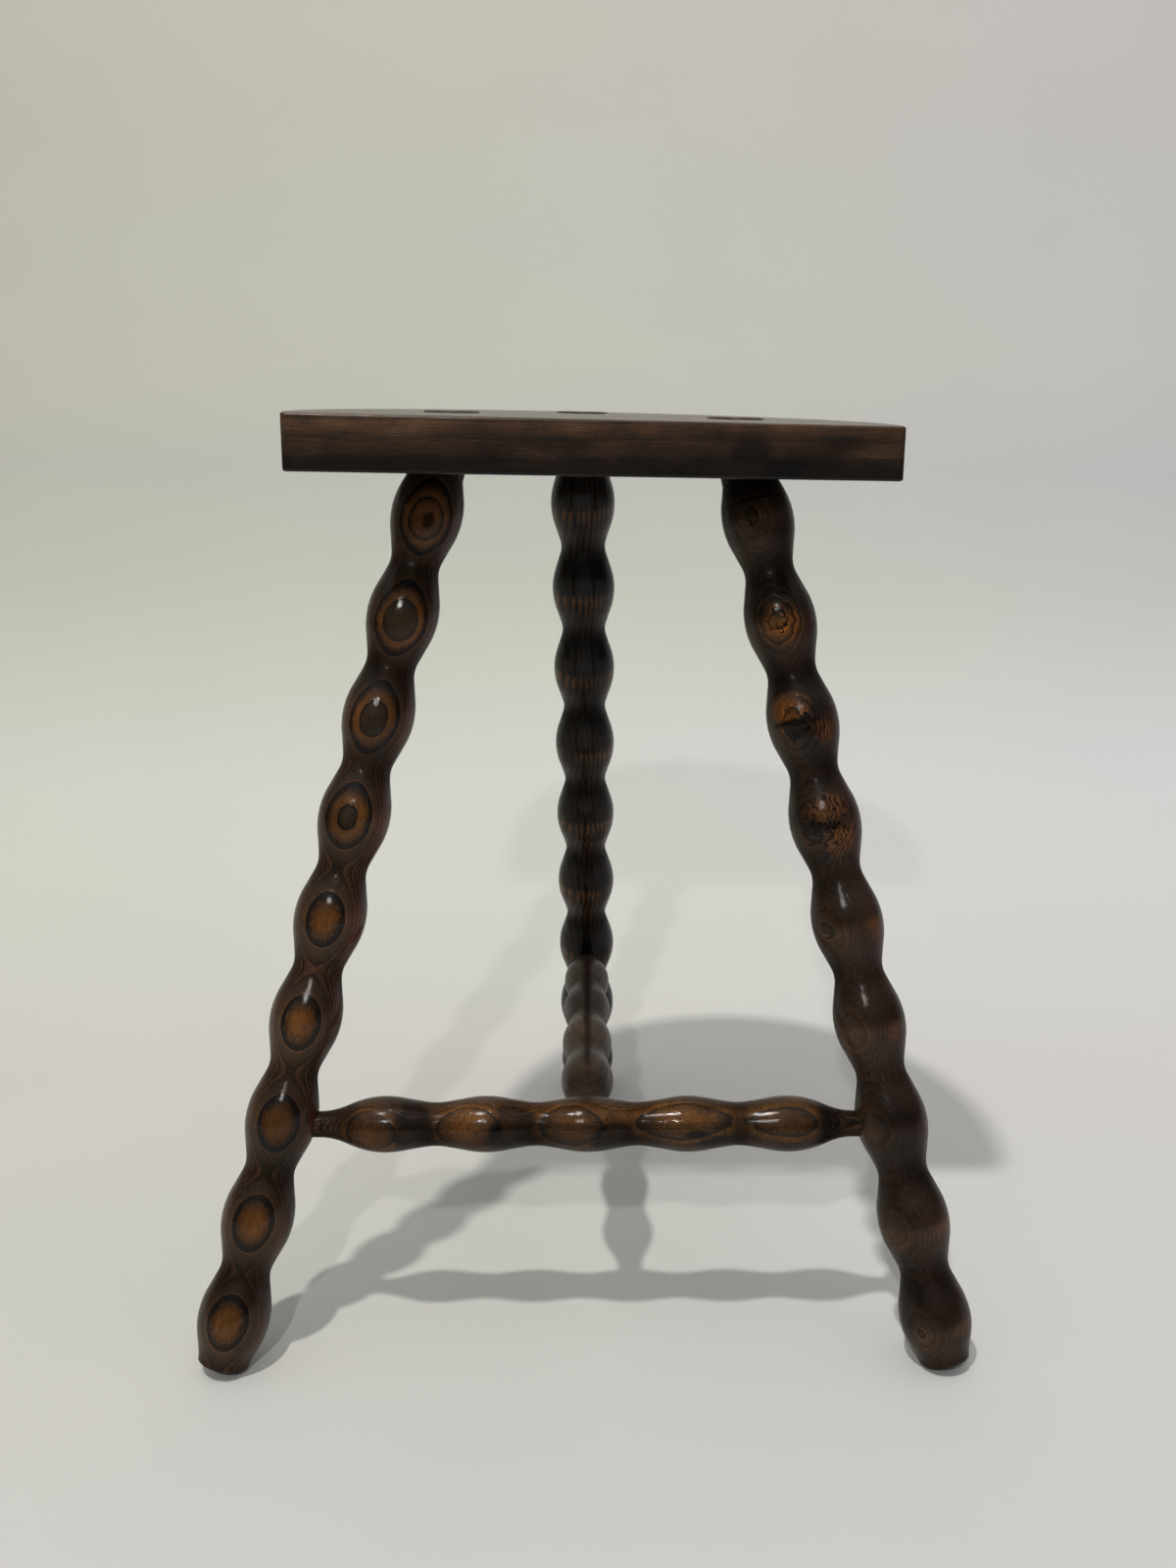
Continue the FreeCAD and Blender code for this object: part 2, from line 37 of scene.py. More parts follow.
camera.matrix_world = Matrix.LocRotScale(camera_place, Matrix((right, upright, -forward)).transposed(), None)
bpy.context.scene.collection.objects.link(camera)
bpy.context.scene.camera = camera
bpy.context.scene.view_settings.view_transform = "Standard"

stool_middle = Vector((0, 0, 0.25))


def hang_lamp(name, place, power, radius, colour):
    """A round lamp that points at the middle of the stool."""
    lamp = bpy.data.lights.new(name, "AREA")
    lamp.shape, lamp.size = "DISK", 2 * radius
    lamp.energy, lamp.color = power, colour
    hung = bpy.data.objects.new(name, lamp)
    aim = (stool_middle - Vector(place)).to_track_quat("-Z", "Y")
    hung.matrix_world = Matrix.LocRotScale(Vector(place), aim, None)
    bpy.context.scene.collection.objects.link(hung)


hang_lamp("ceiling_lamp", place=(-0.690, -1.258, 3.381), power=60, radius=0.07, colour=(1.0, 0.965, 0.90))
hang_lamp("front_lamp", place=(-0.293, -1.652, 1.376), power=9.0, radius=0.03, colour=(1.0, 0.97, 0.92))


def node(tree, kind, settings=None, **inputs):
    """A shader node with its settings and its inputs. An input is called by its name, or by i and its
    number, and is a value or another node's output."""
    made = tree.nodes.new("ShaderNode" + kind)
    for name, value in (settings or {}).items():
        setattr(made, name, value)
    for name, value in inputs.items():
        numbered = name[0] == "i" and name[1:].isdigit()
        socket = made.inputs[int(name[1:]) if numbered else name.replace("_", " ")]
        if isinstance(value, bpy.types.NodeSocket):
            tree.links.new(value, socket)
        else:
            socket.default_value = value
    return made


def maths(tree, operation, *values, clamp=False):
    numbered = {f"i{number}": value for number, value in enumerate(values)}
    return node(tree, "Math", {"operation": operation, "use_clamp": clamp}, **numbered).outputs[0]


def mixed(tree, first, second, factor=1.0, blend="MIX"):
    """Two colours mixed; a Mix node has them in its sockets 6 and 7, and the result in output 2."""
    settings = {"data_type": "RGBA", "blend_type": blend}
    return node(tree, "Mix", settings, Factor=factor, i6=first, i7=second).outputs[2]


def shades(tree, value, stops):
    """A colour ramp through (place, colour) stops; a colour is three numbers or one grey."""
    ramp = node(tree, "ValToRGB", Fac=value)
    elements = ramp.color_ramp.elements
    while len(elements) < len(stops):
        elements.new(0.5)
    for element, (place, colour) in zip(elements, stops):
        grey = (colour,) * 3 if isinstance(colour, (int, float)) else colour
        element.position, element.color = place, (*grey, 1)
    return ramp.outputs["Color"]


# A bright ceiling over dim walls; the camera sees only the pale room beyond the sheet
room = bpy.data.worlds.new("room")
bpy.context.scene.world = room
room.use_nodes = True
room_tree = room.node_tree
room_tree.nodes.clear()
look = node(room_tree, "SeparateXYZ", Vector=node(room_tree, "TexCoord").outputs["Generated"])
floor_to_ceiling = shades(room_tree, look.outputs["Z"],
                          [(0.0, 0.04), (0.2, 0.06), (0.5, 0.38), (0.75, 0.77), (1.0, 1.0)])
backwards = maths(room_tree, "MULTIPLY_ADD", look.outputs["Y"], 0.5, 0.5)
front_to_back = shades(room_tree, backwards, [(0.0, 0.42), (0.5, 0.84), (1.0, 1.07)])
air = node(room_tree, "Background", Color=floor_to_ceiling, Strength=front_to_back)
beyond = node(room_tree, "Background", Color=(0.52, 0.51, 0.46, 1), Strength=1.0)
seen = node(room_tree, "LightPath").outputs["Is Camera Ray"]
both = node(room_tree, "MixShader", Fac=seen, i1=air.outputs[0], i2=beyond.outputs[0])
node(room_tree, "OutputWorld", Surface=both.outputs[0])

# The sheet lies flat as far as the start of the sweep, bends up through a quarter circle, and rises
sweep_start, sweep_radius, sheet_half, sheet_front, wall_top = 0.45, 0.9, 4.0, -4.0, 3.5
sheet = bmesh.new()
edge_points = [sheet.verts.new((-sheet_half, sheet_front, 0)), sheet.verts.new((-sheet_half, sweep_start, 0))]
bend = bmesh.ops.spin(sheet, geom=[edge_points[1]], cent=(0, sweep_start, sweep_radius), axis=(1, 0, 0),
                      angle=math.radians(90), steps=24)
sheet.edges.new(edge_points)
last = bend["geom_last"][0]
sheet.edges.new([last, sheet.verts.new((-sheet_half, sweep_start + sweep_radius, wall_top))])
across = bmesh.ops.extrude_edge_only(sheet, edges=sheet.edges[:])
bmesh.ops.translate(sheet, vec=(2 * sheet_half, 0, 0),
                    verts=[v for v in across["geom"] if isinstance(v, bmesh.types.BMVert)])
bmesh.ops.recalc_face_normals(sheet, faces=sheet.faces)
sheet_mesh = bpy.data.meshes.new("studio_sheet")
sheet.to_mesh(sheet_mesh)
sheet.free()
for face in sheet_mesh.polygons:
    face.use_smooth = True
studio_sheet = bpy.data.objects.new("studio_sheet", sheet_mesh)
bpy.context.scene.collection.objects.link(studio_sheet)

# Its tone changes along the sheet, over 4 m from 1 m in front of the stool, and from left to right; these
# # changes are painted light and shade, standing in for how the lamps light the real sweep
tone_front, tone_run = 1.0, 4.0
sheet_tone_and_light = [(0.18, (0.583, 0.588, 0.583)), (0.24, (0.61, 0.62, 0.60)), (0.29, (0.643, 0.639, 0.626)),
               (0.34, (0.69, 0.70, 0.67)), (0.40, (0.728, 0.744, 0.71)), (0.45, (0.739, 0.757, 0.726)),
               (0.48, (0.723, 0.743, 0.718)), (0.52, (0.694, 0.724, 0.664)), (0.57, (0.648, 0.681, 0.615)),
               (0.64, (0.625, 0.636, 0.607)), (0.70, (0.684, 0.70, 0.637)), (0.75, (0.706, 0.726, 0.673)),
               (0.82, (0.776, 0.768, 0.715))]
paper = bpy.data.materials.new("pale_sheet")
paper.use_nodes = True
paper_tree = paper.node_tree
paper_tree.nodes.clear()
on_sheet = node(paper_tree, "TexCoord").outputs["Object"]
spot = node(paper_tree, "SeparateXYZ", Vector=on_sheet)
up_sheet = maths(paper_tree, "ADD", spot.outputs["Y"], spot.outputs["Z"])
back = maths(paper_tree, "DIVIDE", maths(paper_tree, "ADD", up_sheet, tone_front), tone_run, clamp=True)
front_to_top = shades(paper_tree, back, sheet_tone_and_light)
sideways = maths(paper_tree, "MULTIPLY_ADD", spot.outputs["X"], 0.667, 0.5, clamp=True)
left_to_right = shades(paper_tree, sideways,
                       [(0.0, (0.94, 0.93, 0.90)), (0.5, (1.0, 1.0, 1.0)), (1.0, (1.065, 1.05, 1.13))])
both_ways = mixed(paper_tree, front_to_top, left_to_right, blend="MULTIPLY")
mottle = node(paper_tree, "TexNoise", Vector=on_sheet, Scale=5.0, Detail=3.0)
uneven = maths(paper_tree, "MULTIPLY_ADD", mottle.outputs["Fac"], 0.05, 0.975)
tone = mixed(paper_tree, both_ways, uneven, blend="MULTIPLY")
matt = node(paper_tree, "BsdfPrincipled", Base_Color=tone, Roughness=0.9, Specular_IOR_Level=0.2)
node(paper_tree, "OutputMaterial", Surface=matt.outputs[0])
sheet_mesh.materials.append(paper)


# The seat board: a half-moon sawn from one pine plank, its grain running from side to side, stained
# dark brown and varnished, with its top arris rubbed and scuffed; the pale patch along the top of the front
# at the left is those scuffs with a painted reflection of the light on them. It is the CAD solid as it
# stands.
def frame_of(start, towards, across):
    """The turn that points local Z from start towards a point, with local Y as near across as can be."""
    along = (Vector(towards) - Vector(start)).normalized()
    side = Vector(across).cross(along).normalized()
    return Matrix((side, along.cross(side), along)).transposed().to_euler()


def follow(tree, value, heights):
    """A smooth line through heights, which stand evenly over value 0 to 1."""
    low, high = min(heights), max(max(heights), min(heights) + 0.001)
    curve = node(tree, "FloatCurve", Value=value)
    line = curve.mapping.curves[0]
    while len(line.points) < len(heights):
        line.points.new(0.5, 0.5)
    for index, (point, height) in enumerate(zip(line.points, heights)):
        point.location = (index / (len(heights) - 1), (height - low) / (high - low))
        point.handle_type = "AUTO"
    curve.mapping.update()
    return maths(tree, "MULTIPLY_ADD", curve.outputs[0], high - low, low)


def stained_wood(name, origin, turn, *, pith, run, crest, edges, tones, ragged, wander, bobbins=None,
                 figure=(), blotch=(0.55, 1.3), cove=None, painted_slope_shade=None, edge_shade=None, checks=0.25,
                 marks=(), lathe=0.0, gloss=0.4, gloss_roughness=0.2):
    """Softwood under dark stain and varnish, in millimetres from the origin with the grain along
    local Z. Its growth rings are cylinders round the pith, a line beside the piece, so that a turned
    bead cuts them into ovals. A tint multiplies the colour.

    pith        points (x, y) of the pith, spread evenly over the run from the origin towards -Z
    crest       distance from the pith at which the count of the years starts; it goes inwards
    edges       depth below the crest at which each year starts
    tones       (first year, shades) of each layer of wood; shades run from a year's inner edge out
    ragged      how frayed the shades are
    wander      how far the pith strays from its points
    bobbins     (pitch, swell, leans): lengthens the ovals and shifts them along, bead by bead
    figure      (middle, half sizes, curl, boldness) of each place where the rings curl and stand out
    blotch      darkest and palest tint of the broad unevenness
    cove        (radius of the dips, radius of the beads, painted shade in the dips)
    painted_slope_shade (pitch, fringe, tints from the dip below a bead to the dip above it): painted shade
            on the upper slopes and, where a tint passes 1, painted floor light lower down
    edge_shade  tints over local Y
    checks      darkness of the fine cracks across the grain
    marks       (middle, half sizes, softness, tint) of each cloudy patch
    lathe       height of the turning tool's marks, in tenths of a millimetre
    gloss       weight of the varnish, with gloss_roughness for how dull it is"""
    wood = bpy.data.materials.new(name)
    wood.use_nodes = True
    tree = wood.node_tree
    tree.nodes.clear()
    millimetre = 0.001
    place = node(tree, "Mapping", {"vector_type": "TEXTURE"}, Vector=node(tree, "TexCoord").outputs["Object"],
                 Location=origin, Rotation=turn, Scale=(millimetre,) * 3).outputs[0]
    x, y, z = node(tree, "SeparateXYZ", Vector=place).outputs

    def m(operation, *values, clamp=False):
        return maths(tree, operation, *values, clamp=clamp)

    def noise(across, along, detail=2.0, rough=0.5):
        """Cloudy noise with this many clouds to a millimetre across and along the grain."""
        stretched = node(tree, "Mapping", Vector=place, Scale=(across, across, along)).outputs[0]
        return node(tree, "TexNoise", Vector=stretched, Scale=1.0, Detail=detail, Roughness=rough)

    def swung(cloud, swing, value):
        """A value that a cloud moves up and down."""
        return m("MULTIPLY_ADD", m("SUBTRACT", cloud, 0.5), swing, value)

    def length(one, other):
        return m("SQRT", m("ADD", m("POWER", one, 2.0), m("POWER", other, 2.0)))

    def within(middle, half_sizes):
        """Distance from a middle, 1 at the half sizes."""
        moved = node(tree, "VectorMath", {"operation": "SUBTRACT"}, i0=place, i1=middle).outputs[0]
        scaled = node(tree, "VectorMath", {"operation": "DIVIDE"}, i0=moved, i1=half_sizes).outputs[0]
        return node(tree, "VectorMath", {"operation": "LENGTH"}, i0=scaled).outputs["Value"]

    # Growth rings: the depth below the crest, and from it the year and the place across the year
    down = m("DIVIDE", z, -run, clamp=True)
    slow = node(tree, "SeparateXYZ", Vector=noise(0.03, 0.012).outputs["Color"])

    def from_pith_line(side, coordinate):
        line = follow(tree, down, [point[side] for point in pith])
        strayed = m("MULTIPLY_ADD", slow.outputs[side], 2 * wander, m("SUBTRACT", -wander, line))
        return m("ADD", coordinate, strayed)

    depth = m("SUBTRACT", crest, length(from_pith_line(0, x), from_pith_line(1, y)))
    if bobbins:
        pitch, swell, leans = bobbins
        round_bead = m("MULTIPLY", z, 2 * math.pi / pitch)
        depth = m("MULTIPLY_ADD", m("SUBTRACT", 1.0, m("COSINE", round_bead)), swell, depth)
        depth = m("MULTIPLY_ADD", m("SINE", round_bead), follow(tree, down, leans), depth)
    bold_share = None
    for middle, half_sizes, curl, boldness in figure:
        inside = m("SUBTRACT", 1.0, within(middle, half_sizes), clamp=True)
        waves = m("SUBTRACT", noise(0.16, 0.22).outputs["Fac"], 0.5)
        depth = m("MULTIPLY_ADD", m("MULTIPLY", inside, waves), 2 * curl, depth)
        if boldness:
            share = m("MULTIPLY", inside, 2 * boldness, clamp=True)
            bold_share = m("MAXIMUM", bold_share, share) if bold_share else share
    fibre = noise(1.6, 0.07, 3.0, 0.6).outputs["Fac"]
    depth = m("MULTIPLY_ADD", fibre, 0.25 * ragged, depth)
    deepest, last_year = edges[-1], len(edges) - 1
    share_of_depth = m("DIVIDE", depth, deepest, clamp=True)
    share_of_years = shades(tree, share_of_depth,
                            [(edge / deepest, year / last_year) for year, edge in enumerate(edges)])
    years = m("MULTIPLY", share_of_years, last_year)
    phase = m("SUBTRACT", 1.0, m("FRACT", years))
    # The fraying dies away at both edges of a year, so these stay sharp
    window = shades(tree, phase, [(0.0, 0.0), (0.12, 0.3), (0.35, 1.0), (0.6, 0.6), (0.97, 0.0)])
    frayed = m("MULTIPLY", m("SUBTRACT", noise(0.9, 0.3, 4.0, 0.7).outputs["Fac"], 0.5), window)
    shade_phase = m("MULTIPLY_ADD", frayed, ragged, phase, clamp=True)
    colour = shades(tree, shade_phase, tones[0][1])
    for first_year, stops in tones[1:]:
        deeper = m("GREATER_THAN", years, first_year)
        colour = mixed(tree, colour, shades(tree, shade_phase, stops), deeper)

    # Stain and wear, each a tint over the last
    def tint(factor):
        return mixed(tree, colour, factor, blend="MULTIPLY")

    if bold_share:
        grain = shades(tree, shade_phase, [(0.0, 0.12), (0.3, 0.25), (0.5, 1.0), (1.0, 1.3)])
        colour = tint(mixed(tree, (1, 1, 1, 1), grain, bold_share))
    cloud = noise(0.2, 0.1, 4.0, 0.65).outputs["Fac"]
    streak = noise(2.6, 0.05, 4.0, 0.65).outputs["Fac"]
    colour = tint(shades(tree, streak, [(0.30, 0.45), (0.5, 1.0), (0.72, 1.5)]))
    patch = noise(0.045, 0.03, 3.0, 0.55).outputs["Fac"]
    colour = tint(shades(tree, patch, [(0.32, blotch[0]), (0.68, blotch[1])]))
    fleck = noise(3.5, 0.35).outputs["Fac"]
    colour = tint(shades(tree, fleck, [(0.28, 0.25), (0.36, 1.0), (0.68, 1.0), (0.76, 2.0)]))
    varnish = gloss
    if cove:
        narrow, wide, painted_dip_shade = cove
        share = m("DIVIDE", m("SUBTRACT", length(x, y), narrow), wide - narrow, clamp=True)
        # Painted shade in the dips between the beads
        colour = tint(shades(tree, share, [(0.0, painted_dip_shade), (0.6, 1.0)]))
        # The dips between the beads are hard to rub, so the varnish there is duller
        varnish = m("MULTIPLY_ADD", m("MULTIPLY", share, 2.0, clamp=True), 0.85 * gloss, 0.15 * gloss)
    if painted_slope_shade:
        # Painted shade: the upper slope of each bead is darker, down to a ragged line near its middle, where
        # the
        #         # seat and the dim room keep the light off; tints above 1 are painted floor light just below
        #         the middle
        pitch, fringe, stops = painted_slope_shade
        up_bead = m("FRACT", m("ADD", swung(streak, fringe, m("DIVIDE", z, pitch)), 0.5))
        colour = tint(shades(tree, up_bead, stops))
    if edge_shade:
        over_edge = swung(cloud, 0.35, m("MULTIPLY_ADD", y, 0.04, 0.5))
        colour = tint(shades(tree, over_edge, edge_shade))
    crossing = noise(0.3, 1.6, 3.0, 0.6).outputs["Fac"]
    colour = tint(shades(tree, crossing, [(0.30, 1.0 - checks), (0.45, 1.0)]))
    for middle, half_sizes, softness, factor in marks:
        away = swung(cloud, 0.7, within(middle, half_sizes))
        fading = [(0.5 - 0.5 * softness, factor), (0.5, 1.0)]
        colour = tint(shades(tree, m("MULTIPLY", away, 0.5), fading))

    # Relief in tenths of a millimetre: raised pale wood, fibres, sunken varnish and tool marks
    ring_height, fibre_height, ripple_height, tenth = 0.35, 0.35, 0.4, 0.1 * millimetre
    relief = shades(tree, phase, [(0.0, 0.0), (0.25, 0.25), (0.9, 1.0), (1.0, 0.0)])
    height = m("ADD", m("MULTIPLY", relief, ring_height), m("MULTIPLY", streak, fibre_height))
    height = m("MULTIPLY_ADD", noise(0.35, 0.35).outputs["Fac"], ripple_height, height)
    if lathe:
        height = m("MULTIPLY_ADD", noise(0.03, 2.2, 2.0, 0.6).outputs["Fac"], lathe, height)
    bump = node(tree, "Bump", Height=height, Strength=1.0, Distance=tenth).outputs[0]
    rough = shades(tree, noise(0.12, 0.08, 3.0, 0.6).outputs["Fac"], [(0.3, 0.4), (0.7, 0.65)])
    shader = node(tree, "BsdfPrincipled", Base_Color=colour, Roughness=rough, Normal=bump,
                  Specular_IOR_Level=0.06, Coat_Weight=varnish, Coat_Roughness=gloss_roughness,
                  Coat_IOR=1.36, Coat_Normal=bump)
    node(tree, "OutputMaterial", Surface=shader.outputs[0])
    return wood


def even_years(first, spacing, count):
    return [first + spacing * index for index in range(count)]


def dress(name, wood):
    """Gives a CAD piece its material."""
    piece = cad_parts[name]
    piece.data.materials.clear()
    piece.data.materials.append(wood)


plank_middle = Vector((0.0008, -0.0357, 0.4561))
plank_turn = frame_of(plank_middle, plank_middle + Vector((1, 0, 0)), (0, 0, 1))
seat_tones = [(0, [(0.0, (0.036, 0.022, 0.014)), (0.2, (0.042, 0.024, 0.014)), (0.5, (0.054, 0.029, 0.016)),
                   (0.95, (0.062, 0.033, 0.018)), (1.0, (0.042, 0.025, 0.016))])]
# The seat darkens towards local -Y: nearly black along the bottom of its front face and on its underside,
# palest at the top
seat_edge_shade = [(0.02, 0.10), (0.26, 0.16), (0.40, 0.50), (0.62, 0.62), (0.80, 0.95), (0.95, 1.15)]
seat_marks_and_sheen = [
    # The first mark is the pale patch at the top left of the front: scuffs with a painted reflection on them
    ((-98, 12, -105), (12, 11, 55), 0.8, 1.7),
    ((-98, -1, 71), (12, 9, 12), 0.5, 0.35), ((-98, -8, 86), (12, 6, 16), 0.5, 0.4),
    ((-98, 2, -22), (14, 5, 26), 0.7, 0.6), ((-98, 3, 115), (12, 4, 14), 0.7, 0.55),
    ((-98, -2, 125), (10, 3, 22), 0.8, 1.35), ((-98, -3, 20), (10, 3, 40), 0.8, 1.3),
]
dress("seat_board", stained_wood(
    "seat_stain", plank_middle, plank_turn, pith=[(35, -70), (38, -66)], run=280, crest=160,
    edges=even_years(0, 4.0, 30), tones=seat_tones, ragged=0.8, wander=2.0, blotch=(0.55, 1.4),
    edge_shade=seat_edge_shade, marks=seat_marks_and_sheen, gloss=0.76, gloss_roughness=0.24))


# The three legs: bobbins turned between centres from pine squares, each with a round tenon glued and
# wedged in its hole. The front left one was cut so that every bead shows the rings as ovals.
leg_axes = {
    "leg_front_left": ((-0.0756, -0.0514, 0.44459), (-0.1850, -0.1624, 0.0)),
    "leg_front_right": ((0.0789, -0.0548, 0.44309), (0.1844, -0.1597, 0.0)),
    "leg_rear": ((-0.0028, 0.0274, 0.44389), (0.0050, 0.1625, 0.0)),
}
first_bead_drop = 0.0255
# For the wood, in millimetres: from bead to bead, from the first bead to the last, and two radii
bead_pitch, leg_run, leg_dip, leg_bead = 52.06, 417, 12.5, 18


def first_bead_frame(start, end, distance, across):
    """The middle of a turned piece's first bead, which lies this far from its start, and its turn."""
    first_bead = start + (end - start).normalized() * distance
    return first_bead, frame_of(first_bead, start, across)


def leg_frame(name):
    top, foot = map(Vector, leg_axes[name])
    return first_bead_frame(top, foot, first_bead_drop, (0, 1, 0))


core_tones = [(0.0, (0.010, 0.0065, 0.0045)), (0.12, (0.010, 0.0065, 0.0045)), (0.26, (0.029, 0.0175, 0.010)),
              (1.0, (0.038, 0.023, 0.013))]
golden_tones = [(0.0, (0.014, 0.009, 0.006)), (0.05, (0.008, 0.005, 0.004)), (0.30, (0.010, 0.0065, 0.0045)),
                (0.40, (0.036, 0.017, 0.007)), (0.55, (0.066, 0.027, 0.008)), (0.80, (0.118, 0.047, 0.012)),
                (0.965, (0.100, 0.042, 0.012)), (0.985, (0.15, 0.070, 0.026)), (1.0, (0.012, 0.008, 0.006))]
plain_tones = [(0.0, (0.028, 0.017, 0.010)), (0.12, (0.030, 0.018, 0.010)), (0.35, (0.046, 0.026, 0.014)),
               (0.90, (0.053, 0.029, 0.015)), (0.94, (0.10, 0.048, 0.020)), (0.98, (0.10, 0.048, 0.020)),
               (1.0, (0.012, 0.008, 0.006))]
flank_tones = [(0.0, (0.012, 0.008, 0.006)), (0.16, (0.014, 0.009, 0.006)), (0.34, (0.042, 0.023, 0.013)),
               (0.8, (0.070, 0.035, 0.019)), (0.96, (0.098, 0.046, 0.025)), (1.0, (0.016, 0.010, 0.007))]
mild_tones = [(0.0, (0.018, 0.011, 0.008)), (0.07, (0.020, 0.012, 0.009)), (0.16, (0.038, 0.022, 0.014)),
              (0.9, (0.046, 0.026, 0.016)), (0.96, (0.062, 0.034, 0.019)), (1.0, (0.030, 0.018, 0.012))]

left_pith = [(-4, 57.55), (-2.6, 57.75), (2.5, 57.4), (6.5, 56.6), (3.5, 55.8), (3.0, 55.9), (0.0, 56.2),
             (2.5, 56.2), (5.2, 55.9)]
left_leans = [1.25, 1.1, 0.47, 0.2, 0.0, 0.0, -0.22, -0.42, -0.6]
left_marks = [((1.5, -17.5, -5), (8.5, 9, 11), 0.25, (3.0, 2.0, 1.2)),
              ((2.6, -17.5, -5.5), (3.2, 6, 5.4), 0.3, 0.22),
              ((17, -9, -210), (9, 12, 300), 0.6, (1.45, 1.0, 1.0))]
# Painted shade on the upper slope of every bead
left_slope_shade = [(0.0, 0.8), (0.3, 1.0), (0.5, 1.0), (0.75, 0.55), (0.95, 0.6), (1.0, 0.8)]
dress("leg_front_left", stained_wood(
    "front_left_stain", *leg_frame("leg_front_left"), pith=left_pith, run=leg_run, crest=75.4,
    edges=[0, 1.2, 3.95, 6.6] + even_years(8.1, 1.5, 14), ragged=1.3, wander=0.25,
    tones=[(0, core_tones), (1, golden_tones), (2, plain_tones), (3, flank_tones)],
    bobbins=(bead_pitch, -0.25, left_leans), cove=(leg_dip, leg_bead, 0.75),
    painted_slope_shade=(bead_pitch, 0.3, left_slope_shade), marks=left_marks, lathe=0.2, gloss=0.5, gloss_roughness=0.08))

right_pith = [(11, 43.7), (9, 44.4), (15, 42.0), (22, 38.5), (29, 34.5), (29, 34.0), (28, 34.7), (28, 34.8),
              (25, 37.0)]
right_figure = [((0, 0, -250), (60, 60, 330), 1.2, 0), ((4, -18, -156), (24, 22, 26), 4.0, 1),
                ((2, -18, -106), (18, 14, 20), 2.0, 0.8), ((0, -18, -48), (20, 16, 26), 0.8, 0.6)]
golden, flecks = (3.0, 2.1, 1.1), (1.6, 1.35, 0.95)
right_marks_and_shade = [
    # The second mark darkens the top of the leg just under the seat: painted shade
    ((0, -16, 8.5), (30, 14, 0.9), 0.5, 0.12), ((0, -10, 18), (30, 30, 9.5), 0.3, 0.4),
    ((-7, -15, -95.5), (13, 14, 8.5), 0.3, (3.6, 2.5, 1.2)), ((-6, -17, -103.2), (17, 12, 2.4), 0.5, 0.08),
    ((-4, -18, -109), (13, 12, 6), 0.6, 0.3), ((7, -14, -111), (6, 10, 8), 0.6, golden),
    ((2, -18, -147), (13, 10, 9), 0.5, golden), ((5, -18, -166), (12, 9, 9), 0.5, golden),
    ((-6, -18, -157), (15, 9, 3.2), 0.5, 0.3), ((-1, -17, -55), (13, 10, 14), 0.6, golden),
    ((0, -17, -364), (20, 20, 26), 0.6, 1.2), ((-10, -14, -366), (9, 9, 12), 0.6, 1.3),
    ((-10, -14, -418), (9, 9, 12), 0.6, 1.4), ((12, -14, -212), (9, 10, 7), 0.5, flecks),
    ((12, -14, -264), (9, 10, 7), 0.5, flecks), ((14, -12, -367), (8, 10, 6), 0.5, flecks),
    ((12, -14, -419), (9, 10, 5.5), 0.5, flecks), ((0, -17, -3), (14, 12, 13), 0.7, 1.5),
    ((15, -9, -220), (9, 13, 300), 0.6, (1.3, 1.0, 1.0)),
]
# Painted shade on the upper slope of every bead
right_slope_shade = [(0.0, 0.7), (0.3, 0.85), (0.47, 1.0), (0.56, 0.5), (0.95, 0.5), (1.0, 0.7)]
dress("leg_front_right", stained_wood(
    "front_right_stain", *leg_frame("leg_front_right"), pith=right_pith, run=leg_run, crest=63.0,
    edges=[0, 0.35, 1.7, 3.2, 4.6] + even_years(6.0, 1.5, 16), ragged=1.0, wander=0.9,
    tones=[(0, core_tones), (1, plain_tones), (3, mild_tones)], figure=right_figure, blotch=(0.45, 1.3),
    cove=(leg_dip, leg_bead, 0.75), painted_slope_shade=(bead_pitch, 0.25, right_slope_shade), marks=right_marks_and_shade, lathe=0.25,
    gloss=0.4, gloss_roughness=0.13))

# Painted shade: nearly black upper slopes under the seat, with painted floor light just below the middle of
# each bead
rear_slope_shade = [(0.0, 0.42), (0.3, 0.42), (0.4, 0.6), (0.46, 1.1), (0.515, 1.15), (0.56, 0.13), (0.95, 0.13),
               (1.0, 0.42)]
dress("leg_rear", stained_wood(
    "rear_stain", *leg_frame("leg_rear"), pith=[(60, 10), (60, 10)], run=leg_run, crest=84,
    edges=even_years(0, 3.0, 30), tones=[(0, golden_tones)], ragged=0.8, wander=2.5,
    figure=[((0, 0, -208), (70, 70, 300), 2.6, 0)], blotch=(0.15, 1.15), cove=(leg_dip, leg_bead, 0.6),
    painted_slope_shade=(bead_pitch, 0.26, rear_slope_shade), lathe=0.2, gloss=0.5, gloss_roughness=0.12))


# The stretchers: slimmer bobbins with an ogee at each end, glued into blind holes. The front one
# joins the front legs, and the rear one runs back from its middle bead to the rear leg.
front_ends = Vector((-0.1551, -0.13206, 0.1215)), Vector((0.1555, -0.13094, 0.1215))
rear_ends = Vector((0.00018, -0.1315, 0.1215)), Vector((0.00304, 0.12856, 0.1115))
front_bead_distance, rear_bead_distance = 0.0532, 0.05356
stretcher_pitch, stretcher_dip, stretcher_bead = 51.05, 10.5, 14
amber_tones = [(0.0, (0.018, 0.010, 0.006)), (0.05, (0.015, 0.009, 0.006)), (0.13, (0.036, 0.019, 0.009)),
               (0.5, (0.062, 0.029, 0.010)), (0.94, (0.080, 0.037, 0.012)), (1.0, (0.030, 0.016, 0.009))]
front_pith = [(-49.4, -7.8), (-48.0, -14.0), (-47.0, -17.0), (-43.0, -25.7), (-43.0, -25.0)]
front_leans = [-2.2, -2.2, -2.0, -0.4, 0.0]
